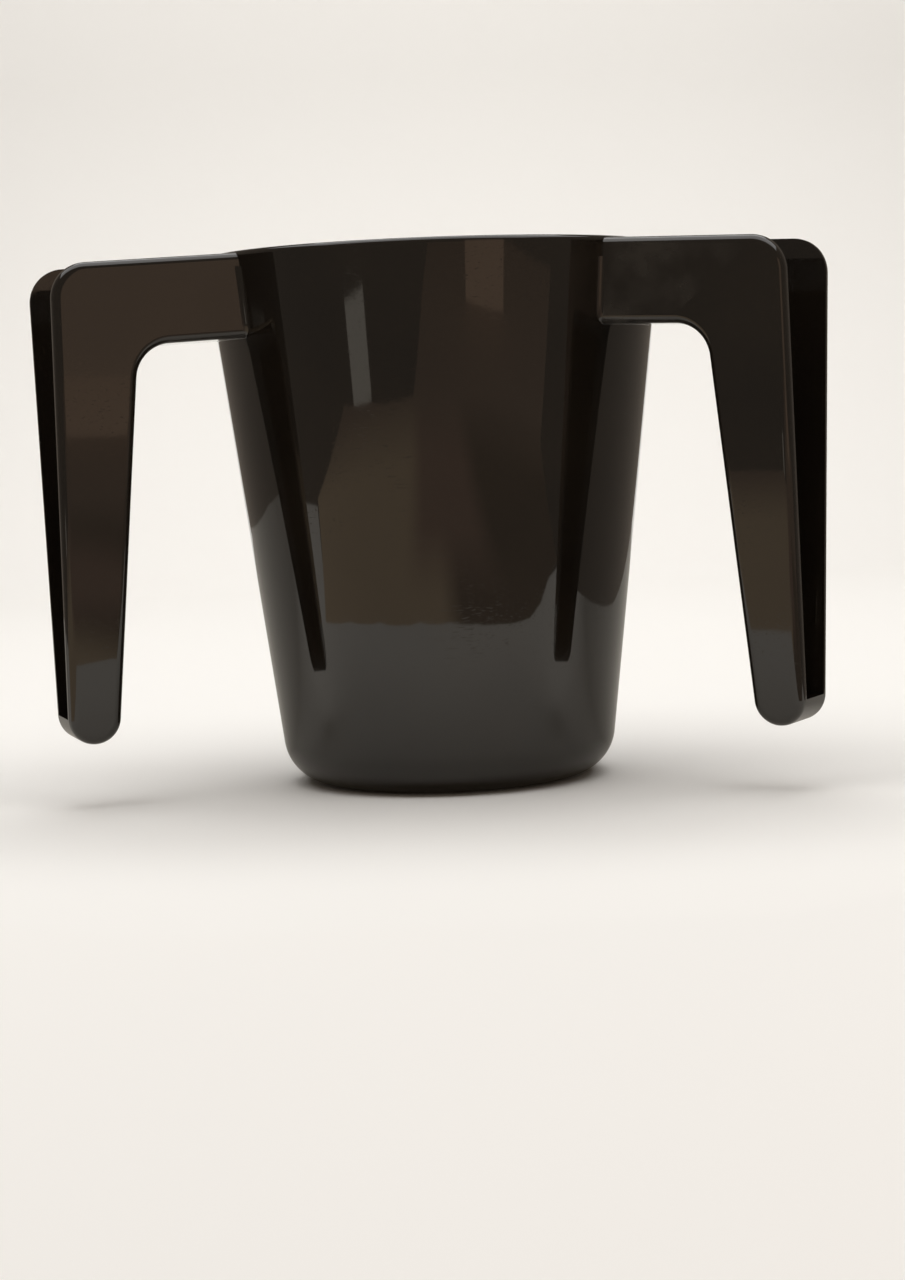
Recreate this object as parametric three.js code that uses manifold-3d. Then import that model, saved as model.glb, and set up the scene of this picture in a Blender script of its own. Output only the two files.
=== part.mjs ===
// Two-handled washing cup: a tapered round cup with a grip hanging from its rim on each side.
// Each grip is a drafted channel: two cheeks on a web, open to the outside and at the top.
// Millimetres, +Z up, origin at the middle of the foot, on the table.
import * as THREE from 'three';
import { mergeVertices } from 'three/addons/utils/BufferGeometryUtils.js';
import Module from 'manifold-3d';

// Cup
const cupHeight = 130;
const rimRadius = 56; // outside wall, at the height of the lip
const footConeRadius = 40; // outside wall, carried down to the table
const wallThickness = 2.4;
const floorThickness = 3.2;
const footCornerRadius = 11.5;
const insideCornerRadius = 9;
const footRingWidth = 3.6;
const footRecessDepth = 1;

// Handles
const handleSweep = 24; // degrees, forward of the line from side to side
const handleReach = 97.6; // cup axis to the outer edge, at the top
const handleWidthTop = 32; // across the cheeks, at the height of the lip
const handleWidthTip = 16; // across the cheeks, at the tip
const barDrop = 0.6; // top of the bar under the lip, where it meets the wall
const barDepth = 19.9;
const barSlope = 2.5; // degrees, falling outwards
const legWidth = 20; // from inner to outer edge, under the bar
const legInnerLean = 4.6; // degrees, outwards going down
const legOuterLean = 0.3; // degrees, inwards going down
const tipHeight = 15.4; // lowest point of the leg above the table
const cheekThickness = 2.8;
const webThickness = 2.4;
const shoulderRadius = 8.4; // outer corner between bar and leg
const crookRadius = 8.4; // inner corner between bar and leg
const edgeRound = 2;

// Joint between cup and handle: the root drops into a groove in the wall and is bonded there
const seatDepth = 0.8;
const jointGap = 0.3;

// Facets
const turnSegments = 72;
const arcDivisions = 4;
const roundSegments = 3;

const { degToRad } = THREE.MathUtils;
const rightAngle = Math.PI / 2;
const wallSlope = (rimRadius - footConeRadius) / cupHeight;
const wallLean = Math.atan(wallSlope);
const clearOfCup = rimRadius; // how far the cutting bodies run past what they cut

const wasm = await Module();
wasm.setup();

/** Makes a solid for cutting and joining from a closed geometry. */
function solid(geometry) {
  geometry.deleteAttribute('normal');
  geometry.deleteAttribute('uv');
  const merged = mergeVertices(geometry);
  const corners = merged.index.array;
  const triVerts = [];
  for (let i = 0; i < corners.length; i += 3) {
    const [a, b, c] = corners.slice(i, i + 3);
    if (a !== b && b !== c && c !== a) triVerts.push(a, b, c);
  }
  const vertProperties = new Float32Array(merged.attributes.position.array);
  return new wasm.Manifold(new wasm.Mesh({
    numProp: 3,
    vertProperties,
    triVerts: new Uint32Array(triVerts),
  }));
}

/** Turns a solid back into a geometry with normals. */
function geometryOf(body) {
  const mesh = body.getMesh();
  const geometry = new THREE.BufferGeometry();
  geometry.setAttribute('position', new THREE.BufferAttribute(mesh.vertProperties, 3));
  geometry.setIndex(new THREE.BufferAttribute(mesh.triVerts, 1));
  geometry.computeVertexNormals();
  return geometry;
}

/** Radius of the cone that lies a given depth under the cup's outside wall. */
function coneRadius(height, depth = 0) {
  return footConeRadius + wallSlope * height - depth / Math.cos(wallLean);
}

/** Revolves a profile of radius and height about the cup's axis. */
function revolved(points) {
  return solid(new THREE.LatheGeometry(points, turnSegments).rotateX(rightAngle));
}

/** The space inside a cone a given depth under the outside wall, past both ends of the cup. */
function wallCore(depth) {
  const low = -clearOfCup;
  const high = cupHeight + clearOfCup;
  return revolved([
    new THREE.Vector2(0, low),
    new THREE.Vector2(coneRadius(low, depth), low),
    new THREE.Vector2(coneRadius(high, depth), high),
    new THREE.Vector2(0, high),
  ]);
}

/** A straight edge in the plane of radius and height, through a point and along an angle. */
function edge(radius, height, angle) {
  return { radius, height, angle, along: Math.cos(angle), up: Math.sin(angle) };
}

/** The edge moved to its left, seen along its direction. */
function leftOf(line, distance) {
  return edge(line.radius - line.up * distance, line.height + line.along * distance, line.angle);
}

/** The same edge walked the other way. */
function reversed(line) {
  return edge(line.radius, line.height, line.angle + Math.PI);
}

/** The point where two edges cross. */
function crossing(a, b) {
  const apart = (b.radius - a.radius) * b.up - (b.height - a.height) * b.along;
  const reach = apart / (a.along * b.up - a.up * b.along);
  return new THREE.Vector2(a.radius + a.along * reach, a.height + a.up * reach);
}

/** The height of an edge at a radius. */
function heightAt(line, radius) {
  return line.height + (radius - line.radius) * Math.tan(line.angle);
}

/** Draws the rounded corner from one edge to the next. */
function roundCorner(path, from, to, radius, clockwise) {
  const side = clockwise ? -1 : 1;
  const centre = crossing(leftOf(from, side * radius), leftOf(to, side * radius));
  const start = from.angle - side * rightAngle;
  const end = to.angle - side * rightAngle;
  path.absarc(centre.x, centre.y, radius, start, end, clockwise);
}

// Edges of the handle's side view, walked outwards along the bar and down the leg
const slope = degToRad(barSlope);
const barTop = edge(rimRadius, cupHeight - barDrop, -slope);
const barUnder = leftOf(barTop, -barDepth * Math.cos(slope));
const legInnerRadius = handleReach - legWidth;
const legOuter = edge(handleReach, heightAt(barTop, handleReach), -rightAngle - degToRad(legOuterLean));
const legInner = edge(legInnerRadius, heightAt(barUnder, legInnerRadius), -rightAngle + degToRad(legInnerLean));

// The tip is the circle that touches both edges of the leg and just reaches the tip's height
const legPoint = crossing(legOuter, legInner);
const unitRound = crossing(leftOf(legOuter, -1), leftOf(legInner, 1));
const tipRadius = (tipHeight - legPoint.y) / (unitRound.y - legPoint.y - 1);
const tipCentre = crossing(leftOf(legOuter, -tipRadius), leftOf(legInner, tipRadius));

const rootRadius = rimRadius / 2; // well inside the wall, which trims the root
const pastReach = handleReach + clearOfCup;
const aboveRim = cupHeight + clearOfCup;

/** Half the handle's width across its cheeks, which narrows from the lip to the tip. */
function halfWidth(height) {
  const share = (height - tipHeight) / (cupHeight - tipHeight);
  return (handleWidthTip + (handleWidthTop - handleWidthTip) * share) / 2;
}

/** A side view made into a slab as wide as the handle less an inset on each side. */
function draftedSlab(outline, inset, round) {
  const half = handleWidthTop / 2 - inset;
  const geometry = new THREE.ExtrudeGeometry(outline, {
    depth: 2 * (half - round),
    curveSegments: arcDivisions,
    bevelEnabled: round > 0,
    bevelThickness: round,
    bevelSize: round,
    bevelOffset: -round,
    bevelSegments: roundSegments,
  });
  geometry.translate(0, 0, round - half).rotateX(rightAngle);
  const place = geometry.attributes.position;
  for (let i = 0; i < place.count; i++) {
    const across = place.getY(i);
    const narrowing = handleWidthTop / 2 - halfWidth(place.getZ(i));
    place.setY(i, across - Math.sign(across) * narrowing);
  }
  return geometry;
}

/** Side view of the whole handle. */
function handleOutline() {
  const outline = new THREE.Shape();
  const upLeg = reversed(legInner);
  outline.moveTo(rootRadius, heightAt(barUnder, rootRadius));
  outline.lineTo(rootRadius, heightAt(barTop, rootRadius));
  roundCorner(outline, barTop, legOuter, shoulderRadius, true);
  roundCorner(outline, legOuter, upLeg, tipRadius, true);
  roundCorner(outline, upLeg, reversed(barUnder), crookRadius, false);
  outline.closePath();
  return outline;
}

/** Side view of the channel: it stops at the web, which wraps round the tip to its outer edge. */
function channelOutline() {
  const outline = new THREE.Shape();
  const floor = leftOf(barUnder, webThickness);
  const back = leftOf(legInner, webThickness);
  outline.moveTo(rootRadius, aboveRim);
  outline.lineTo(rootRadius, heightAt(floor, rootRadius));
  roundCorner(outline, floor, back, crookRadius + webThickness, true);
  const tipRound = tipRadius - webThickness;
  outline.absarc(tipCentre.x, tipCentre.y, tipRound, legInner.angle - rightAngle, 0, false);
  outline.lineTo(pastReach, tipCentre.y);
  outline.lineTo(pastReach, aboveRim);
  outline.closePath();
  return outline;
}

/** Side view of everything above an edge of the bar, from inside the wall to past the rim. */
function aboveEdge(line) {
  const past = rimRadius + clearOfCup;
  return new THREE.Shape([
    new THREE.Vector2(rootRadius, heightAt(line, rootRadius)),
    new THREE.Vector2(past, heightAt(line, past)),
    new THREE.Vector2(past, aboveRim),
    new THREE.Vector2(rootRadius, aboveRim),
  ]);
}

/** One handle, along +X, with its root trimmed to the bottom of its groove. */
function handleSolid() {
  const block = solid(draftedSlab(handleOutline(), 0, edgeRound));
  const channel = solid(draftedSlab(channelOutline(), cheekThickness, 0));
  return block.subtract(channel).subtract(wallCore(seatDepth - jointGap));
}

/** The groove for a handle's root, open at the rim so that the handle drops in from above. */
function seatCut(turn) {
  const outside = draftedSlab(aboveEdge(leftOf(barUnder, -jointGap)), -jointGap, edgeRound);
  const inside = draftedSlab(aboveEdge(leftOf(barUnder, webThickness + jointGap)), cheekThickness + jointGap, 0);
  const groove = solid(outside.rotateZ(turn)).subtract(solid(inside.rotateZ(turn)));
  return groove.subtract(wallCore(seatDepth));
}

/** Outline of the cup's wall and floor, from the middle of the foot round to the middle of the floor. */
function cupProfile() {
  const profile = new THREE.Path();
  const footCentre = coneRadius(footCornerRadius, footCornerRadius);
  const ringInside = footCentre - footRingWidth;
  const lipRadius = wallThickness / 2;
  const lipHeight = cupHeight - lipRadius;
  const insideHeight = floorThickness + insideCornerRadius;
  const insideCentre = coneRadius(insideHeight, wallThickness + insideCornerRadius);
  profile.moveTo(0, footRecessDepth);
  profile.lineTo(ringInside, footRecessDepth);
  profile.lineTo(ringInside, 0);
  profile.absarc(footCentre, footCornerRadius, footCornerRadius, -rightAngle, -wallLean);
  profile.absarc(coneRadius(lipHeight, lipRadius), lipHeight, lipRadius, -wallLean, Math.PI - wallLean);
  profile.absarc(insideCentre, insideHeight, insideCornerRadius, -wallLean, -rightAngle, true);
  profile.lineTo(0, floorThickness);
  return profile.getPoints(arcDivisions);
}

/** A named piece in dark glossy plastic. */
function piece(name, geometry) {
  const plastic = new THREE.MeshStandardMaterial({ color: 0x1e1a16, roughness: 0.12, metalness: 0 });
  const mesh = new THREE.Mesh(geometry, plastic);
  mesh.name = name;
  return mesh;
}

const sweep = degToRad(handleSweep);
const handleTurns = { right_handle: -sweep, left_handle: Math.PI + sweep };

const washingCup = new THREE.Group();
let cupBody = revolved(cupProfile());
for (const turn of Object.values(handleTurns)) cupBody = cupBody.subtract(seatCut(turn));
washingCup.add(piece('cup_body', geometryOf(cupBody)));

for (const [name, turn] of Object.entries(handleTurns)) {
  const side = new THREE.Group();
  side.rotation.z = turn;
  side.add(piece(name, geometryOf(handleSolid())));
  washingCup.add(side);
}

export default washingCup;
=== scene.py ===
"""Two-handled washing cup in dark gloss plastic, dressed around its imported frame.

The cup is spun from one profile. Each hanging handle is a drafted slab that is hollowed to a channel and
let into the wall. Sizes are in millimetres and become metres where the mesh is made.
"""

import logging
import math
from dataclasses import dataclass, field
from enum import Enum
from itertools import pairwise
from typing import Callable

import bpy
from mathutils import Matrix, Vector

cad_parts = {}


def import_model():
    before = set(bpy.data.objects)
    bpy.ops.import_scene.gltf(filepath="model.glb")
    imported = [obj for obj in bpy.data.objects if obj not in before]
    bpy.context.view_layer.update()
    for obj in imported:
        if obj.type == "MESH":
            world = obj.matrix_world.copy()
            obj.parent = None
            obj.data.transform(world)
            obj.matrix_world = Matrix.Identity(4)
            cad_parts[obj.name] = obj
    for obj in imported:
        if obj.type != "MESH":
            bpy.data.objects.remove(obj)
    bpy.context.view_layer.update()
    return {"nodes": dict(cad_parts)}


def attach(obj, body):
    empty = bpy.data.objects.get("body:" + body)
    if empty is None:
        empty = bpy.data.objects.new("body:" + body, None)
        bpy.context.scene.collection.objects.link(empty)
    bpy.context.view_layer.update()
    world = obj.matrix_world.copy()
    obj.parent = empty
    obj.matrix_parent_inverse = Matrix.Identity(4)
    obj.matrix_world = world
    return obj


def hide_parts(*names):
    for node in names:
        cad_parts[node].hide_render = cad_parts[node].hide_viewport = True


log = logging.getLogger("washing_cup")

MM = 0.001
RIGHT_ANGLE = math.pi / 2
BODY = "root"

Point = tuple[float, float]

BLACK = (0, 0, 0, 1)
WHITE = (1, 1, 1, 1)


class Side(Enum):
    """The side of the cup that a handle hangs on, seen from the front."""

    LEFT = "left"
    RIGHT = "right"


class Turn(Enum):
    """The way a side view's outline turns at a corner."""

    LEFT = 1
    RIGHT = -1


@dataclass(frozen=True)
class Edge:
    """A straight edge in a side view of radius and height, walked in one direction."""

    radius: float
    height: float
    angle: float

    @property
    def along(self) -> Vector:
        """Unit direction of the walk."""
        return Vector((math.cos(self.angle), math.sin(self.angle)))

    def left(self, distance: float) -> "Edge":
        """The edge moved to its own left by a distance."""
        ahead = self.along
        return Edge(self.radius - ahead.y * distance, self.height + ahead.x * distance, self.angle)

    def back(self) -> "Edge":
        """The same edge walked the other way."""
        return Edge(self.radius, self.height, self.angle + math.pi)

    def height_at(self, radius: float) -> float:
        """The edge's height at a radius."""
        return self.height + (radius - self.radius) * math.tan(self.angle)

    def crossing(self, other: "Edge") -> Point:
        """Find where two edges cross.

        Args:
            other: The edge to cross.

        Returns:
            Radius and height of the crossing.
        """
        ahead, across = self.along, other.along
        apart = (other.radius - self.radius) * across.y - (other.height - self.height) * across.x
        reach = apart / (ahead.x * across.y - ahead.y * across.x)
        return self.radius + ahead.x * reach, self.height + ahead.y * reach


def arc(centre: Point, radius: float, start: float, end: float, steps: int) -> list[Point]:
    """Points along a round stretch of an outline.

    Args:
        centre: Radius and height of the arc's centre.
        radius: The arc's own radius.
        start: Angle of the first point, in radians.
        end: Angle of the last point, in radians.
        steps: Number of straight steps between the two.

    Returns:
        The points from start to end, both included.
    """
    angles = [start + (end - start) * i / steps for i in range(steps + 1)]
    return [(centre[0] + radius * math.cos(a), centre[1] + radius * math.sin(a)) for a in angles]


def corner(first: Edge, second: Edge, radius: float, turn: Turn, steps: int) -> list[Point]:
    """The rounded corner from one edge to the next.

    Args:
        first: The edge that is walked first.
        second: The edge that follows it.
        radius: The corner's radius.
        turn: Which way the walk turns.
        steps: Number of straight steps round the corner.

    Returns:
        The corner's points, in walking order.
    """
    side = turn.value
    centre = first.left(side * radius).crossing(second.left(side * radius))
    start = first.angle - side * RIGHT_ANGLE
    sweep = (second.angle - first.angle) * side % (2 * math.pi) * side
    return arc(centre, radius, start, start + sweep, steps)


class Bench:
    """Modelling steps that the pieces share, each done with Blender's own operators."""

    MERGE_DISTANCE = 1e-6
    UNIT = 1.0
    ROUND_PROFILE = 0.5
    NORMAL_WEIGHT = 50

    @staticmethod
    def clear() -> None:
        """Leave edit mode with nothing selected."""
        if bpy.context.mode != "OBJECT":
            bpy.ops.object.mode_set(mode="OBJECT")
        bpy.ops.object.select_all(action="DESELECT")

    @classmethod
    def take(cls, piece: bpy.types.Object) -> None:
        """Make a piece the only selected and active one."""
        cls.clear()
        piece.select_set(True)
        bpy.context.view_layer.objects.active = piece

    @classmethod
    def outline(cls, name: str, points: list[Point], across: float = 0.0) -> bpy.types.Object:
        """Draw an open line by extruding one vertex from point to point.

        Args:
            name: Name of the new piece.
            points: Radius and height of each point, in millimetres.
            across: Distance of the line from the plane of the side view, in millimetres.

        Returns:
            The new piece, left in edit mode.
        """
        cls.clear()
        bpy.ops.mesh.primitive_plane_add(size=cls.UNIT)
        piece = bpy.context.active_object
        piece.name = name
        piece.data.name = name
        places = [Vector((radius, across, height)) * MM for radius, height in points]
        bpy.ops.object.mode_set(mode="EDIT")
        bpy.ops.mesh.select_mode(type="VERT")
        bpy.ops.mesh.select_all(action="SELECT")
        bpy.ops.mesh.merge(type="CENTER")
        bpy.ops.transform.translate(value=places[0])
        for here, there in pairwise(places):
            bpy.ops.mesh.extrude_region_move(TRANSFORM_OT_translate={"value": there - here})
        return piece

    @classmethod
    def tidy(cls) -> None:
        """Merge doubles and turn the faces of the piece in edit mode outwards."""
        bpy.ops.mesh.select_all(action="SELECT")
        bpy.ops.mesh.remove_doubles(threshold=cls.MERGE_DISTANCE)
        bpy.ops.mesh.normals_make_consistent(inside=False)
        bpy.ops.object.mode_set(mode="OBJECT")

    @classmethod
    def spun(cls, name: str, profile: list[Point], steps: int) -> bpy.types.Object:
        """Spin a profile once round the cup's axis.

        Args:
            name: Name of the new piece.
            profile: Radius and height of each point, from axis to axis.
            steps: Number of steps in the full turn.

        Returns:
            The closed piece.
        """
        piece = cls.outline(name, profile)
        bpy.ops.mesh.select_all(action="SELECT")
        bpy.ops.mesh.spin(steps=steps, angle=2 * math.pi, center=(0, 0, 0), axis=(0, 0, 1))
        cls.tidy()
        return piece

    @classmethod
    def slab(cls, name: str, outline: list[Point], width: float) -> bpy.types.Object:
        """Fill an outline and extrude it to a slab centred on the side view's plane.

        Args:
            name: Name of the new piece.
            outline: Radius and height of each point round the outline.
            width: The slab's width, in millimetres.

        Returns:
            The closed slab.
        """
        piece = cls.outline(name, outline, -width / 2)
        bpy.ops.mesh.select_all(action="SELECT")
        bpy.ops.mesh.edge_face_add()
        bpy.ops.mesh.extrude_region_move(TRANSFORM_OT_translate={"value": (0, width * MM, 0)})
        cls.tidy()
        return piece

    @classmethod
    def apply(cls, piece: bpy.types.Object, kind: str, **settings: object) -> None:
        """Give a piece a modifier and apply it.

        Args:
            piece: The piece to change.
            kind: Blender's name for the modifier.
            **settings: Values of the modifier's own properties.
        """
        cls.take(piece)
        modifier = piece.modifiers.new(kind.lower(), kind)
        for setting, value in settings.items():
            setattr(modifier, setting, value)
        bpy.ops.object.modifier_apply(modifier=modifier.name)

    @classmethod
    def cut(cls, piece: bpy.types.Object, cutter: bpy.types.Object) -> None:
        """Cut one solid out of another and throw the cutter away."""
        cls.apply(piece, "BOOLEAN", operation="DIFFERENCE", solver="EXACT", object=cutter)
        bpy.data.objects.remove(cutter)

    @classmethod
    def join(cls, piece: bpy.types.Object, other: bpy.types.Object) -> None:
        """Make another piece's mesh part of a piece."""
        cls.take(piece)
        other.select_set(True)
        bpy.ops.object.join()

    @classmethod
    def move(cls, piece: bpy.types.Object, offset: Vector) -> None:
        """Move a piece's mesh and leave its object at the origin."""
        cls.take(piece)
        bpy.ops.object.mode_set(mode="EDIT")
        bpy.ops.mesh.select_all(action="SELECT")
        bpy.ops.transform.translate(value=offset)
        bpy.ops.object.mode_set(mode="OBJECT")

    @classmethod
    def turn(cls, piece: bpy.types.Object, angle: float, axis: str = "Z") -> None:
        """Turn a piece's mesh about one axis of the frame and leave its object unturned."""
        cls.take(piece)
        piece.rotation_euler["XYZ".index(axis)] = angle
        bpy.ops.object.transform_apply(location=False, rotation=True, scale=False)

    @classmethod
    def pick_faces(cls, piece: bpy.types.Object, test: Callable[[bpy.types.MeshPolygon], bool]) -> None:
        """Select the faces that pass a test and leave the piece in edit mode.

        Args:
            piece: The piece whose faces are looked at.
            test: Says whether a face is wanted.
        """
        cls.take(piece)
        bpy.ops.object.mode_set(mode="EDIT")
        bpy.ops.mesh.select_mode(type="FACE")
        bpy.ops.mesh.select_all(action="DESELECT")
        bpy.ops.object.mode_set(mode="OBJECT")
        for face in piece.data.polygons:
            face.select = test(face)
        bpy.ops.object.mode_set(mode="EDIT")

    @classmethod
    def smooth(cls, piece: bpy.types.Object, angle: float) -> None:
        """Shade a piece smooth below an angle, with large faces kept true."""
        cls.take(piece)
        bpy.ops.object.shade_smooth_by_angle(angle=angle)
        cls.apply(piece, "WEIGHTED_NORMAL", mode="FACE_AREA", weight=cls.NORMAL_WEIGHT, keep_sharp=True)


class Finish:
    """Steps for node materials that the finishes share."""

    PAPER_ROUGHNESS = 0.9
    PAPER_SPECULAR = 0.1

    @classmethod
    def paper(cls, name: str, colour: tuple[float, float, float]) -> bpy.types.Material:
        """Plain matt paper of one colour."""
        material = bpy.data.materials.new(name)
        material.use_nodes = True
        shader = material.node_tree.nodes["Principled BSDF"]
        shader.inputs["Base Color"].default_value = (*colour, 1)
        shader.inputs["Roughness"].default_value = cls.PAPER_ROUGHNESS
        shader.inputs["Specular IOR Level"].default_value = cls.PAPER_SPECULAR
        return material

    @staticmethod
    def link(material: bpy.types.Material, source: bpy.types.NodeSocket,
             target: bpy.types.NodeSocket) -> None:
        """Join two sockets of a material."""
        material.node_tree.links.new(source, target)

    def noise(self, material: bpy.types.Material, place: bpy.types.NodeSocket, size: float,
              detail: float, distortion: float = 0.0) -> bpy.types.NodeSocket:
        """Add a noise with features of a real size.

        Args:
            material: The material that gets the node.
            place: Coordinates, in metres.
            size: Size of a feature, in millimetres.
            detail: Number of finer octaves.
            distortion: How far the noise is pulled about.

        Returns:
            The noise's value.
        """
        node = material.node_tree.nodes.new("ShaderNodeTexNoise")
        node.inputs["Scale"].default_value = 1 / (size * MM)
        node.inputs["Detail"].default_value = detail
        node.inputs["Distortion"].default_value = distortion
        self.link(material, place, node.inputs["Vector"])
        return node.outputs["Fac"]

    def scaled(self, material: bpy.types.Material, value: bpy.types.NodeSocket, factor: float,
               shift: float) -> bpy.types.NodeSocket:
        """Multiply a value and shift it."""
        node = material.node_tree.nodes.new("ShaderNodeMath")
        node.operation = "MULTIPLY_ADD"
        self.link(material, value, node.inputs[0])
        node.inputs[1].default_value = factor
        node.inputs[2].default_value = shift
        return node.outputs["Value"]

    def product(self, material: bpy.types.Material, first: bpy.types.NodeSocket,
                second: bpy.types.NodeSocket) -> bpy.types.NodeSocket:
        """Multiply two values."""
        node = material.node_tree.nodes.new("ShaderNodeMath")
        node.operation = "MULTIPLY"
        self.link(material, first, node.inputs[0])
        self.link(material, second, node.inputs[1])
        return node.outputs["Value"]

    def blend(self, material: bpy.types.Material, share: bpy.types.NodeSocket, under: bpy.types.NodeSocket,
              over: tuple[float, ...]) -> bpy.types.NodeSocket:
        """Lay a colour over another by a share.

        Args:
            material: The material that gets the node.
            share: How much of the upper colour shows.
            under: The lower colour.
            over: The upper colour.

        Returns:
            The blended colour.
        """
        node = material.node_tree.nodes.new("ShaderNodeMix")
        node.data_type = "RGBA"
        self.link(material, share, node.inputs["Factor"])
        colours = [socket for socket in node.inputs if socket.type == "RGBA"]
        self.link(material, under, colours[0])
        colours[1].default_value = over
        return next(socket for socket in node.outputs if socket.type == "RGBA")

    def ramp(self, material: bpy.types.Material, value: bpy.types.NodeSocket, low: float, high: float,
             first: tuple[float, ...] = BLACK, last: tuple[float, ...] = WHITE) -> bpy.types.NodeSocket:
        """Add a colour ramp.

        Args:
            material: The material that gets the node.
            value: What drives the ramp.
            low: Value at which the ramp starts.
            high: Value at which it ends.
            first: Colour at the start.
            last: Colour at the end.

        Returns:
            The ramp's colour.
        """
        node = material.node_tree.nodes.new("ShaderNodeValToRGB")
        for stop, position, colour in zip(node.color_ramp.elements, (low, high), (first, last)):
            stop.position = position
            stop.color = colour
        self.link(material, value, node.inputs["Fac"])
        return node.outputs["Color"]

    def bump(self, material: bpy.types.Material, value: bpy.types.NodeSocket,
             height: float) -> bpy.types.Node:
        """Add a bump of a real height.

        Args:
            material: The material that gets the node.
            value: Height as a share of the full one.
            height: The full height, in millimetres.

        Returns:
            The bump node, whose Normal input is still free.
        """
        node = material.node_tree.nodes.new("ShaderNodeBump")
        node.inputs["Distance"].default_value = height * MM
        self.link(material, value, node.inputs["Height"])
        return node


@dataclass(frozen=True)
class GlossPlastic(Finish):
    """Mirror-gloss moulded plastic, almost black with a warm brown cast."""

    name: str = "dark_gloss_plastic"
    deep: tuple[float, float, float] = (0.0080, 0.0060, 0.0044)
    warm: tuple[float, float, float] = (0.0125, 0.0092, 0.0062)
    refraction: float = 1.55
    cloud_size: float = 38.0
    cloud_detail: float = 3.0
    cloud_edge: tuple[float, float] = (0.35, 0.7)
    polished: float = 0.03
    handled: float = 0.055
    smudge_size: float = 55.0
    smudge_detail: float = 7.0
    smudge_pull: float = 0.6
    smudge_edge: tuple[float, float] = (0.42, 0.78)
    bump_detail: float = 1.0
    wave_size: float = 45.0
    wave_height: float = 0.05
    peel_size: float = 1.6
    peel_height: float = 0.0012
    rubbed: tuple[float, float, float] = (0.024, 0.020, 0.016)
    rubbed_gloss: float = 0.20
    rub_size: float = 9.0
    rub_detail: float = 5.0
    rub_sharpness: tuple[float, float] = (0.52, 0.60)
    rub_edge: tuple[float, float] = (0.4, 0.65)
    scratch_length: float = 26.0
    scratch_width: float = 0.35
    scratch_gloss: float = 0.22
    scratch_edge: tuple[float, float] = (0.70, 0.76)
    scratch_cover: tuple[float, float] = (0.45, 0.6)
    scratch_turns: tuple[tuple[float, float, float], ...] = ((20.0, 35.0, 10.0), (-40.0, 15.0, 70.0))

    def material(self) -> bpy.types.Material:
        """Build the material.

        Returns:
            A node material on Object coordinates.
        """
        material = bpy.data.materials.new(self.name)
        material.use_nodes = True
        nodes = material.node_tree.nodes
        shader = nodes["Principled BSDF"]
        place = nodes.new("ShaderNodeTexCoord").outputs["Object"]

        cloud = self.noise(material, place, self.cloud_size, self.cloud_detail)
        tint = self.ramp(material, cloud, *self.cloud_edge, (*self.deep, 1), (*self.warm, 1))
        smudge = self.noise(material, place, self.smudge_size, self.smudge_detail, self.smudge_pull)
        polish = [(value, value, value, 1) for value in (self.polished, self.handled)]
        gloss = self.ramp(material, smudge, *self.smudge_edge, *polish)

        edge = nodes.new("ShaderNodeNewGeometry").outputs["Pointiness"]
        rubbing = self.noise(material, place, self.rub_size, self.rub_detail)
        worn = self.product(material, self.ramp(material, edge, *self.rub_sharpness),
                            self.ramp(material, rubbing, *self.rub_edge))
        fine = self.product(material, self.streaks(material, place, self.scratch_turns[0]),
                            self.ramp(material, smudge, *self.scratch_cover))
        other = self.product(material, self.streaks(material, place, self.scratch_turns[1]),
                             self.ramp(material, cloud, *self.scratch_cover))
        tint = self.blend(material, worn, tint, (*self.rubbed, 1))
        marks = ((worn, self.rubbed_gloss), (fine, self.scratch_gloss), (other, self.scratch_gloss))
        for mark, dull in marks:
            gloss = self.blend(material, mark, gloss, (dull, dull, dull, 1))
        self.link(material, tint, shader.inputs["Base Color"])
        self.link(material, gloss, shader.inputs["Roughness"])

        swell = self.noise(material, place, self.wave_size, self.bump_detail)
        wave = self.bump(material, swell, self.wave_height)
        grain = self.noise(material, place, self.peel_size, self.bump_detail)
        peel = self.bump(material, grain, self.peel_height)
        self.link(material, wave.outputs["Normal"], peel.inputs["Normal"])
        self.link(material, peel.outputs["Normal"], shader.inputs["Normal"])
        shader.inputs["IOR"].default_value = self.refraction
        return material

    def streaks(self, material: bpy.types.Material, place: bpy.types.NodeSocket,
                turn: tuple[float, float, float]) -> bpy.types.NodeSocket:
        """Add sparse hairline scratches that run one way.

        Args:
            material: The material that gets the nodes.
            place: Coordinates, in metres.
            turn: Direction of the scratches, in degrees about each axis.

        Returns:
            How much of a scratch there is, from 0 to 1.
        """
        mapping = material.node_tree.nodes.new("ShaderNodeMapping")
        mapping.inputs["Rotation"].default_value = [math.radians(angle) for angle in turn]
        mapping.inputs["Scale"].default_value = (self.scratch_width / self.scratch_length, 1, 1)
        self.link(material, place, mapping.inputs["Vector"])
        lines = self.noise(material, mapping.outputs["Vector"], self.scratch_width, detail=0.0)
        return self.ramp(material, lines, *self.scratch_edge)


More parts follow.
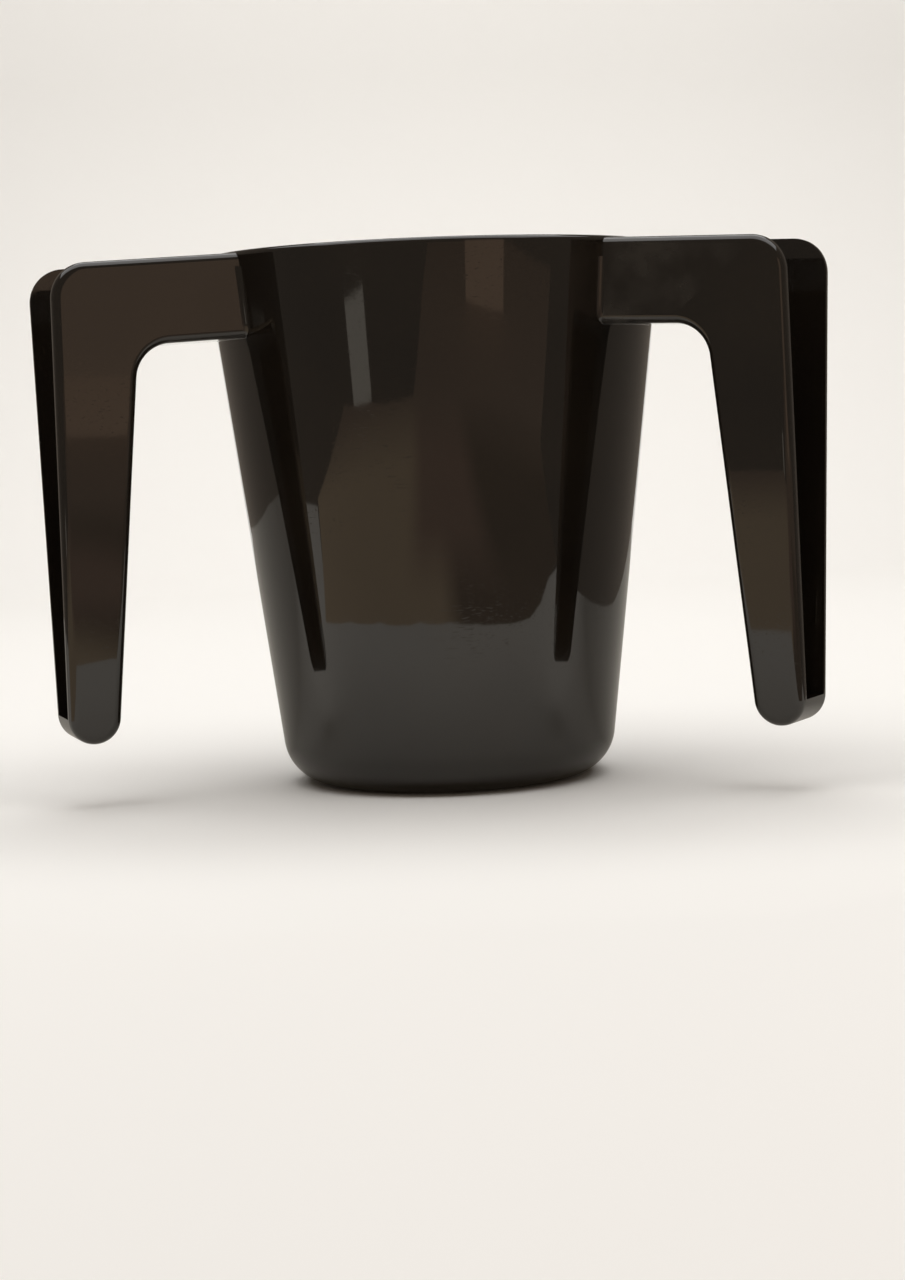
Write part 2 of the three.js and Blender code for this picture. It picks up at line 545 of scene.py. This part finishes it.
@dataclass
class Cup:
    """The tapered round cup: wall, lip, foot and floor."""

    name: str = "cup_shell"
    node: str = "cup_body"
    height: float = 130.0
    rim_radius: float = 56.0
    foot_cone_radius: float = 40.0
    wall: float = 2.4
    floor: float = 3.2
    foot_corner: float = 11.5
    inside_corner: float = 9.0
    ring_width: float = 3.6
    recess: float = 1.0
    recess_round: float = 0.5
    smooth_angle: float = 40.0
    turn_steps: int = 256
    arc_steps: int = 18
    recess_steps: int = 6
    wall_steps: int = 14

    @property
    def lean(self) -> float:
        """Angle of the wall from upright."""
        return math.atan((self.rim_radius - self.foot_cone_radius) / self.height)

    def radius_at(self, height: float, depth: float = 0.0) -> float:
        """Radius of the cone that lies a depth under the outside wall, at a height."""
        return self.foot_cone_radius + math.tan(self.lean) * height - depth / math.cos(self.lean)

    def run(self, first: Point, last: Point) -> list[Point]:
        """Evenly spaced points strictly between two points of the wall."""
        shares = [i / self.wall_steps for i in range(1, self.wall_steps)]
        return [(first[0] + (last[0] - first[0]) * s, first[1] + (last[1] - first[1]) * s) for s in shares]

    def profile(self) -> list[Point]:
        """Walk the cup's section from the middle of the foot to the middle of the floor.

        Returns:
            Radius and height of each point.
        """
        foot_centre = self.radius_at(self.foot_corner, self.foot_corner)
        ring_inside = foot_centre - self.ring_width
        soft = self.recess_round
        lip = self.wall / 2
        lip_height = self.height - lip
        inside_height = self.floor + self.inside_corner
        inside_centre = self.radius_at(inside_height, self.wall + self.inside_corner)
        steps, lean = self.arc_steps, self.lean

        recess_edge = arc((ring_inside - soft, self.recess - soft), soft, RIGHT_ANGLE, 0, self.recess_steps)
        ring_edge = arc((ring_inside + soft, soft), soft, math.pi, 3 * RIGHT_ANGLE, self.recess_steps)
        foot = arc((foot_centre, self.foot_corner), self.foot_corner, -RIGHT_ANGLE, -lean, steps)
        rim = arc((self.radius_at(lip_height, lip), lip_height), lip, -lean, math.pi - lean, steps)
        inside = arc((inside_centre, inside_height), self.inside_corner, -lean, -RIGHT_ANGLE, steps)
        outer_wall = self.run(foot[-1], rim[0])
        inner_wall = self.run(rim[-1], inside[0])
        return [(0, self.recess), *recess_edge, *ring_edge, *foot, *outer_wall, *rim, *inner_wall, *inside,
                (0, self.floor)]

    def build(self) -> bpy.types.Object:
        """Spin the cup from its profile.

        Returns:
            The cup's mesh object.
        """
        piece = Bench.spun(self.name, self.profile(), self.turn_steps)
        Bench.smooth(piece, math.radians(self.smooth_angle))
        return piece

    def dress(self, piece: bpy.types.Object, plastic: bpy.types.Material) -> None:
        """Give the cup its finish and its place on the frame."""
        dress_piece(piece, plastic, self.node)


@dataclass
class Handle:
    """One hanging handle: front cheek, rear cheek and the web that joins them along the inner side."""

    side: Side
    cup: Cup
    sweep: float = 24.0
    reach: float = 97.6
    width_top: float = 32.0
    width_tip: float = 16.0
    bar_drop: float = 0.6
    bar_depth: float = 19.9
    bar_slope: float = 2.5
    leg_width: float = 20.0
    inner_lean: float = 4.6
    outer_lean: float = 0.3
    tip_height: float = 15.4
    cheek: float = 2.8
    web: float = 2.4
    shoulder: float = 8.4
    crook: float = 8.4
    edge_round: float = 2.0
    lip_round: float = 0.5
    lip_angle: float = 45.0
    lip_steps: int = 3
    cheek_angle: float = 20.0
    smooth_angle: float = 40.0
    root_inset: float = 1.2
    fillet: float = 1.2
    fillet_end: float = 0.1
    fillet_fade: float = 2.5
    fillet_steps: int = 8
    bury: float = 0.4
    past: float = 30.0
    corner_steps: int = 20
    round_steps: int = 7
    bar_top: Edge = field(init=False)
    bar_under: Edge = field(init=False)
    leg_outer: Edge = field(init=False)
    leg_inner: Edge = field(init=False)

    def __post_init__(self) -> None:
        """Lay out the straight edges of the handle's side view."""
        slope = math.radians(self.bar_slope)
        inner = self.reach - self.leg_width
        self.bar_top = Edge(self.cup.rim_radius, self.cup.height - self.bar_drop, -slope)
        self.bar_under = self.bar_top.left(-self.bar_depth * math.cos(slope))
        down = -RIGHT_ANGLE
        outer_angle = down - math.radians(self.outer_lean)
        inner_angle = down + math.radians(self.inner_lean)
        self.leg_outer = Edge(self.reach, self.bar_top.height_at(self.reach), outer_angle)
        self.leg_inner = Edge(inner, self.bar_under.height_at(inner), inner_angle)

    @property
    def name(self) -> str:
        """Name of the finished piece."""
        return f"{self.side.value}_grip"

    @property
    def node(self) -> str:
        """Name of the frame's node that the piece stands for."""
        return f"{self.side.value}_handle"

    @property
    def root_radius(self) -> float:
        """Radius at which the outline starts, well inside the wall that trims it."""
        return self.cup.rim_radius / 2

    @property
    def turn_angle(self) -> float:
        """Angle of the handle about the cup's axis, from +X."""
        sweep = math.radians(self.sweep)
        return -sweep if self.side is Side.RIGHT else math.pi + sweep

    def tip(self) -> tuple[Point, float]:
        """Find the circle that touches both edges of the leg and just reaches the tip's height.

        Returns:
            The circle's centre and radius.
        """
        point = self.leg_outer.crossing(self.leg_inner)
        unit = self.leg_outer.left(-1).crossing(self.leg_inner.left(1))
        radius = (self.tip_height - point[1]) / (unit[1] - point[1] - 1)
        return self.leg_outer.left(-radius).crossing(self.leg_inner.left(radius)), radius

    def side_view(self) -> list[Point]:
        """Outline of a cheek, walked outwards along the bar, down the leg and back."""
        up_leg, steps = self.leg_inner.back(), self.corner_steps
        _, tip_radius = self.tip()
        root = self.root_radius
        return [
            (root, self.bar_under.height_at(root)),
            (root, self.bar_top.height_at(root)),
            *corner(self.bar_top, self.leg_outer, self.shoulder, Turn.RIGHT, steps),
            *corner(self.leg_outer, up_leg, tip_radius, Turn.RIGHT, 2 * steps),
            *corner(up_leg, self.bar_under.back(), self.crook, Turn.LEFT, steps),
        ]

    def channel_view(self) -> list[Point]:
        """Outline of the hollow between the cheeks, which stops at the web and opens outwards."""
        floor, back = self.bar_under.left(self.web), self.leg_inner.left(self.web)
        centre, tip_radius = self.tip()
        root, out, above = self.root_radius, self.reach + self.past, self.cup.height + self.past
        steps = self.corner_steps
        return [
            (root, above),
            (root, floor.height_at(root)),
            *corner(floor, back, self.crook + self.web, Turn.RIGHT, steps),
            *arc(centre, tip_radius - self.web, back.angle - RIGHT_ANGLE, 0, 2 * steps),
            (out, centre[1]),
            (out, above),
        ]

    def drafted(self, name: str, outline: list[Point], inset: float) -> bpy.types.Object:
        """Make a side view into a slab that narrows from the lip to the tip.

        Args:
            name: Name of the slab.
            outline: The side view.
            inset: How far the slab stays inside the handle on each side.

        Returns:
            The closed slab, along +X.
        """
        top, tip = self.width_top - 2 * inset, self.width_tip - 2 * inset
        hung = [(radius, height - self.cup.height) for radius, height in outline]
        slab = Bench.slab(name, hung, top)
        extent = max(height for _, height in hung) - min(height for _, height in hung)
        fall = self.cup.height - self.tip_height
        Bench.apply(slab, "SIMPLE_DEFORM", deform_method="TAPER", deform_axis="Z", lock_x=True,
                    factor=(top - tip) / top * extent / fall)
        Bench.move(slab, Vector((0, 0, self.cup.height * MM)))
        return slab

    def round_outline(self, slab: bpy.types.Object) -> None:
        """Round the long edges between the cheeks' faces and the outline."""
        facing = math.cos(math.radians(self.cheek_angle))
        Bench.pick_faces(slab, lambda face: abs(face.normal.y) > facing)
        bpy.ops.mesh.region_to_loop()
        bpy.ops.mesh.bevel(offset_type="OFFSET", offset=self.edge_round * MM, segments=self.round_steps,
                           profile=Bench.ROUND_PROFILE, affect="EDGES")
        bpy.ops.object.mode_set(mode="OBJECT")

    def wall_core(self) -> bpy.types.Object:
        """The solid cone inside the wall that trims the handle's root."""
        low, high = -self.past, self.cup.height + self.past
        Bench.clear()
        bpy.ops.mesh.primitive_cone_add(
            vertices=self.cup.turn_steps,
            radius1=self.cup.radius_at(low, self.root_inset) * MM,
            radius2=self.cup.radius_at(high, self.root_inset) * MM,
            depth=(high - low) * MM,
            location=(0, 0, (high + low) / 2 * MM),
        )
        return bpy.context.active_object

    def half_width(self, height: float) -> float:
        """Half the handle's width across its cheeks, at a height."""
        share = (height - self.tip_height) / (self.cup.height - self.tip_height)
        return (self.width_tip + (self.width_top - self.width_tip) * share) / 2

    def root_line(self) -> list[Point]:
        """Walk the handle's section at the wall, from the lip down, under the bar and up to the lip again.

        Returns:
            Distance across the handle and height of each point.
        """
        under = self.bar_under.height_at(self.cup.radius_at(self.bar_under.height))
        top = self.bar_top.height - self.edge_round
        draft = math.atan2(self.half_width(top) - self.half_width(under), top - under)
        down = Edge(-self.half_width(top), top, draft - RIGHT_ANGLE)
        across = Edge(0, under, 0)
        up = Edge(self.half_width(top), top, RIGHT_ANGLE - draft)
        steps = self.fillet_steps
        first = corner(down, across, self.edge_round, Turn.LEFT, steps)
        last = corner(across, up, self.edge_round, Turn.LEFT, steps)
        front = [(down.radius, top), first[0]]
        rear = [last[-1], (up.radius, top)]
        return [*self.cup.run(*front), *first, *self.cup.run(first[-1], last[0]), *last, *self.cup.run(*rear)]

    def fillet_ring(self, before: Point, here: Point, after: Point) -> list[Vector]:
        """Section of the fillet at one point of the root line: a hollow round, closed inside the solids.

        Args:
            before: The point of the root line before this one.
            here: The point itself.
            after: The point after it.

        Returns:
            The section's points, in millimetres.
        """
        ahead = Vector((after[0] - before[0], after[1] - before[1])).normalized()
        outwards = Vector((ahead.y, -ahead.x))
        from_end = min(self.bar_top.height - here[1], here[1] - self.bar_under.height)
        share = min(max(from_end / self.fillet_fade, 0.0), 1.0)
        round_here = self.fillet_end + (self.fillet - self.fillet_end) * share
        turns = [RIGHT_ANGLE * i / self.fillet_steps for i in range(self.fillet_steps + 1)]
        section = [(round_here * (1 - math.cos(a)), round_here * (1 - math.sin(a))) for a in turns]
        ring = []
        for offset, rise in [*section, (-self.bury, -self.bury), section[0]]:
            across, height = here[0] + outwards.x * offset, here[1] + outwards.y * offset
            out = math.sqrt(self.cup.radius_at(height, -rise) ** 2 - across ** 2)
            ring.append(Vector((out, across, height)))
        return ring

    def root_fillet(self) -> bpy.types.Object:
        """The hollow round between the handle and the wall, shaped from a grid.

        Returns:
            The closed fillet, along +X.
        """
        line = self.root_line()
        triples = zip([line[0], *line], line[1:], [*line[2:], line[-1]])
        rings = [self.fillet_ring(*triple) for triple in triples]
        long, wide = len(rings) - 1, len(rings[0]) - 1
        Bench.clear()
        bpy.ops.mesh.primitive_grid_add(x_subdivisions=long, y_subdivisions=wide, size=Bench.UNIT)
        piece = bpy.context.active_object
        half = Bench.UNIT / 2
        for vertex in piece.data.vertices:
            station, turn = round((vertex.co.x + half) * long), round((vertex.co.y + half) * wide)
            vertex.co = rings[station][turn] * MM
        bpy.ops.object.mode_set(mode="EDIT")
        bpy.ops.mesh.select_all(action="SELECT")
        bpy.ops.mesh.remove_doubles(threshold=Bench.MERGE_DISTANCE)
        bpy.ops.mesh.fill_holes(sides=0)
        Bench.tidy()
        return piece

    def build(self) -> bpy.types.Object:
        """Model the handle in place.

        Returns:
            The handle's mesh object.
        """
        piece = self.drafted(self.name, self.side_view(), 0.0)
        self.round_outline(piece)
        Bench.cut(piece, self.drafted("channel", self.channel_view(), self.cheek))
        Bench.cut(piece, self.wall_core())
        Bench.apply(piece, "BEVEL", width=self.lip_round * MM, segments=self.lip_steps, limit_method="ANGLE",
                    angle_limit=math.radians(self.lip_angle), harden_normals=False)
        Bench.join(piece, self.root_fillet())
        Bench.turn(piece, self.turn_angle)
        Bench.smooth(piece, math.radians(self.smooth_angle))
        return piece

    def dress(self, piece: bpy.types.Object, plastic: bpy.types.Material) -> None:
        """Give the handle its finish and its place on the frame."""
        dress_piece(piece, plastic, self.node)


def dress_piece(piece: bpy.types.Object, finish: bpy.types.Material, node: str) -> None:
    """Finish a piece and let it stand for a node of the frame.

    Args:
        piece: The finished mesh.
        finish: Its material.
        node: The node that it replaces.
    """
    piece.data.materials.clear()
    piece.data.materials.append(finish)
    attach(piece, BODY)
    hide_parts(node)


@dataclass(frozen=True)
class Softbox:
    """A soft rectangular lamp that isn't seen directly."""

    name: str
    place: tuple[float, float, float]
    aim: tuple[float, float, float]
    size: tuple[float, float]
    radiance: float
    grid: float = 180.0
    colour: tuple[float, float, float] = (1.0, 1.0, 1.0)

    def build(self) -> bpy.types.Object:
        """Hang the lamp.

        Returns:
            The lamp's object.
        """
        data = bpy.data.lights.new(self.name, "AREA")
        data.shape = "RECTANGLE"
        data.size, data.size_y = self.size
        data.energy = self.radiance * math.pi * self.size[0] * self.size[1]
        data.spread = math.radians(self.grid)
        data.color = self.colour
        lamp = bpy.data.objects.new(self.name, data)
        bpy.context.scene.collection.objects.link(lamp)
        lamp.location = self.place
        lamp.rotation_euler = (Vector(self.aim) - Vector(self.place)).to_track_quat("-Z", "Y").to_euler()
        lamp.visible_camera = False
        return lamp


@dataclass(frozen=True)
class MirroredPatch(Finish):
    """A flat patch of the photograph's surroundings, which the gloss shows and the camera doesn't.

    Places are in millimetres, to the right of the cup's axis and away from the camera.
    """

    MIDDLE = 0.5

    name: str
    outline: tuple[Point, ...]
    lift: float
    colour: tuple[float, float, float]
    span: float = 2000.0

    def build(self, azimuth: float) -> bpy.types.Object:
        """Lay the patch just above the floor.

        Args:
            azimuth: Angle of the camera about the cup's axis.

        Returns:
            The patch, which only reflections see.
        """
        patch = Bench.outline(self.name, list(self.outline), -self.lift)
        bpy.ops.mesh.select_all(action="SELECT")
        bpy.ops.mesh.edge_face_add()
        Bench.tidy()
        Bench.turn(patch, -RIGHT_ANGLE, axis="X")
        Bench.turn(patch, azimuth)
        patch.data.materials.append(self.material())
        patch.visible_camera = False
        patch.visible_shadow = False
        patch.visible_diffuse = False
        return patch

    def material(self) -> bpy.types.Material:
        """Plain matt paper of the patch's colour."""
        return self.paper(self.name, self.colour)


@dataclass(frozen=True)
class PaperSheet(MirroredPatch):
    """The pale sheet that the cup stands on, bright in front of the cup and with painted shade behind it."""

    name: str = "paper_sheet"
    lift: float = 0.05
    colour: tuple[float, float, float] = (0.98, 0.95, 0.88)
    # Painted shade: the colour that the sheet darkens to behind the cup.
    painted_shade: tuple[float, float, float] = (0.42, 0.40, 0.36)
    bright_to_painted_shade: tuple[float, float] = (-35.0, 15.0)
    outline: tuple[Point, ...] = (
        (-340, 720), (-440, 200), (-438, 44), (-325, -110), (-183, -62), (-160, -120),
        (-60, -190), (60, -190), (110, -150), (225, -95), (225, 150), (310, 720),
    )

    def material(self) -> bpy.types.Material:
        """Paint the paper darker from front to back, as painted shade behind the cup.

        Returns:
            A matt material on Object coordinates.
        """
        material = self.paper(self.name, self.colour)
        nodes = material.node_tree.nodes
        split = nodes.new("ShaderNodeSeparateXYZ")
        self.link(material, nodes.new("ShaderNodeTexCoord").outputs["Object"], split.inputs["Vector"])
        away = self.scaled(material, split.outputs["Y"], 1 / (self.span * MM), self.MIDDLE)
        ends = [self.MIDDLE + place / self.span for place in self.bright_to_painted_shade]
        # Painted shade: the ramp darkens the sheet behind the cup.
        tint = self.ramp(material, away, *ends, (*self.colour, 1), (*self.painted_shade, 1))
        self.link(material, tint, nodes["Principled BSDF"].inputs["Base Color"])
        return material


@dataclass(frozen=True)
class PaintedTableReflection(MirroredPatch):
    """Painted reflection of a table in front of the cup, which only the gloss shows: warm and pale at the
    left, dark at the right, reddish between, darker far out.
    """

    name: str = "painted_table_reflection"
    lift: float = 0.1
    # Painted reflection: the warm pale zone at the left.
    colour: tuple[float, float, float] = (0.76, 0.60, 0.42)
    outline: tuple[Point, ...] = (
        (-331, -117), (-183, -59), (-149, -105), (-103, -141), (-40, -165), (7, -168), (47, -160), (84, -145),
        (132, -118), (160, -111), (193, -110), (230, -98), (330, -230), (720, -420), (420, -740), (0, -850),
        (-60, -620), (-90, -430), (-155, -407), (-255, -371), (-354, -308),
    )
    # Painted reflection: dark at the right, reddish in the middle, darker far out.
    right: tuple[float, float, float] = (0.25, 0.20, 0.155)
    middle: tuple[float, float, float] = (0.48, 0.34, 0.27)
    far: tuple[float, float, float] = (0.43, 0.33, 0.26)
    left_to_right: tuple[float, float] = (10.0, 45.0)
    middle_starts: tuple[float, float] = (-65.0, -25.0)
    middle_ends: tuple[float, float] = (95.0, 140.0)
    near_to_middle: tuple[float, float] = (190.0, 260.0)
    middle_to_far: tuple[float, float] = (340.0, 440.0)

    def material(self) -> bpy.types.Material:
        """Paint the zones of the table's painted reflection.

        Returns:
            A matt material on Object coordinates.
        """
        material = self.paper(self.name, self.colour)
        nodes = material.node_tree.nodes
        shader = nodes["Principled BSDF"]
        place = nodes.new("ShaderNodeTexCoord").outputs["Object"]
        split = nodes.new("ShaderNodeSeparateXYZ")
        self.link(material, place, split.inputs["Vector"])
        reach = nodes.new("ShaderNodeVectorMath")
        reach.operation = "LENGTH"
        self.link(material, place, reach.inputs[0])
        scale = 1 / (self.span * MM)
        across = self.scaled(material, split.outputs["X"], scale, self.MIDDLE)
        away = self.scaled(material, reach.outputs["Value"], scale, 0.0)
        sideways = (self.left_to_right, self.middle_starts, self.middle_ends)
        sides, starts, ends = [[self.MIDDLE + x / self.span for x in zone] for zone in sideways]
        outwards = (self.near_to_middle, self.middle_to_far)
        depth, far = [[distance / self.span for distance in zone] for zone in outwards]
        tint = self.ramp(material, across, *sides, (*self.colour, 1), (*self.right, 1))
        window = self.product(material, self.ramp(material, across, *starts),
                              self.ramp(material, across, *ends, WHITE, BLACK))
        window = self.product(material, window, self.ramp(material, away, *depth))
        tint = self.blend(material, window, tint, (*self.middle, 1))
        tint = self.blend(material, self.ramp(material, away, *far), tint, (*self.far, 1))
        self.link(material, tint, shader.inputs["Base Color"])
        return material


@dataclass
class Studio:
    """Pale floor and backdrop, soft lamps, and the camera at the photograph's view."""

    floor_colour: tuple[float, float, float] = (0.93, 0.92, 0.895)
    world_colour: tuple[float, float, float] = (0.20, 0.17, 0.14)
    half_width: float = 800.0
    backdrop_half: float = 310.0
    front: float = -800.0
    back: float = 1000.0
    sweep_radius: float = 300.0
    wall_height: float = 800.0
    bend_steps: int = 32
    camera_azimuth: float = 4.54
    camera_distance: float = 640.0
    camera_right: float = 1.55
    camera_height: float = 91.75
    camera_pitch: float = 5.18
    camera_roll: float = 2.13
    focal_pixels: float = 2574.4
    frame_height: float = 1280.0
    sensor: float = 36.0
    mirrored: tuple[MirroredPatch, ...] = (
        PaperSheet(),
        PaintedTableReflection(),
    )
    lamps: tuple[Softbox, ...] = (
        Softbox("overhead_softbox", (0.0, -0.12, 1.20), (0.0, -0.12, 0.0), (2.2, 1.2), 1.95),
        Softbox("backdrop_softbox", (0.0, 0.55, 1.10), (0.0, 0.85, 0.15), (0.9, 0.4), 3.3),
        Softbox("left_card", (-0.71, -1.00, -0.14), (0.0, 0.0, -0.14), (0.22, 0.08), 0.85,
                colour=(1.0, 0.93, 0.8)),
        Softbox("right_card", (0.30, -0.53, 0.125), (0.0, 0.0, 0.125), (0.20, 0.35), 0.46,
                colour=(1.0, 0.65, 0.43)),
    )

    def floor(self) -> bpy.types.Object:
        """Lay the wide floor.

        Returns:
            The floor, in place of which the gloss shows the mirrored patches.
        """
        wide, front, back = self.half_width, self.front, self.back - self.sweep_radius
        floor = Bench.outline("studio_floor", [(-wide, back), (-wide, front), (wide, front), (wide, back)])
        bpy.ops.mesh.select_all(action="SELECT")
        bpy.ops.mesh.edge_face_add()
        Bench.tidy()
        Bench.turn(floor, -RIGHT_ANGLE, axis="X")
        floor.visible_glossy = False
        self.lay(floor)
        return floor

    def backdrop(self) -> bpy.types.Object:
        """Sweep the backdrop up from the floor.

        Returns:
            The backdrop.
        """
        bend = self.sweep_radius
        sweep = arc((self.back - bend, bend), bend, -RIGHT_ANGLE, 0, self.bend_steps)
        section = [*sweep, (self.back, self.wall_height)]
        backdrop = Bench.outline("studio_backdrop", section, self.backdrop_half)
        bpy.ops.mesh.select_all(action="SELECT")
        width = 2 * self.backdrop_half * MM
        bpy.ops.mesh.extrude_region_move(TRANSFORM_OT_translate={"value": (0, -width, 0)})
        Bench.tidy()
        Bench.turn(backdrop, RIGHT_ANGLE)
        self.lay(backdrop)
        return backdrop

    def lay(self, sheet: bpy.types.Object) -> None:
        """Square a sheet of pale paper to the camera."""
        Bench.turn(sheet, math.radians(self.camera_azimuth))
        bpy.ops.object.shade_smooth()
        sheet.data.materials.append(Finish.paper("pale_paper", self.floor_colour))

    def light(self) -> None:
        """Set the room's even light and hang the lamps."""
        world = bpy.data.worlds.new("studio_room")
        bpy.context.scene.world = world
        world.use_nodes = True
        world.node_tree.nodes["Background"].inputs["Color"].default_value = (*self.world_colour, 1)
        for lamp in self.lamps:
            lamp.build()

    def camera(self) -> bpy.types.Object:
        """Stand the camera where the photograph was taken from.

        Returns:
            The scene's camera.
        """
        azimuth, pitch = math.radians(self.camera_azimuth), math.radians(self.camera_pitch)
        roll = math.radians(self.camera_roll)
        turn = Matrix.Rotation(azimuth, 3, "Z")
        place = turn @ Vector((self.camera_right, -self.camera_distance, self.camera_height)) * MM
        ahead = turn @ Vector((0, math.cos(pitch), -math.sin(pitch)))
        level = turn @ Vector((1, 0, 0))
        upright = level.cross(ahead)
        right = level * math.cos(roll) - upright * math.sin(roll)
        upwards = level * math.sin(roll) + upright * math.cos(roll)
        data = bpy.data.cameras.new("camera")
        data.sensor_width = self.sensor
        data.lens = self.focal_pixels / self.frame_height * self.sensor
        camera = bpy.data.objects.new("camera", data)
        bpy.context.scene.collection.objects.link(camera)
        axes = Matrix((right, upwards, -ahead)).transposed().to_4x4()
        camera.matrix_world = Matrix.Translation(place) @ axes
        bpy.context.scene.camera = camera
        return camera

    def build(self) -> None:
        """Set up the whole studio."""
        self.camera()
        self.floor()
        self.backdrop()
        for patch in self.mirrored:
            patch.build(math.radians(self.camera_azimuth))
        self.light()
        bpy.context.scene.view_settings.view_transform = "Standard"


def main() -> None:
    """Build the pieces in order, dress them and set them in the studio."""
    logging.basicConfig(level=logging.INFO, format="%(name)s: %(message)s")
    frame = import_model()
    log.info("frame holds %s", ", ".join(sorted(frame["nodes"])))
    Studio().build()
    plastic = GlossPlastic().material()
    cup = Cup()
    for part in (cup, Handle(Side.LEFT, cup), Handle(Side.RIGHT, cup)):
        piece = part.build()
        part.dress(piece, plastic)
        log.info("%s: %d faces", piece.name, len(piece.data.polygons))


if __name__ == "__main__":
    main()
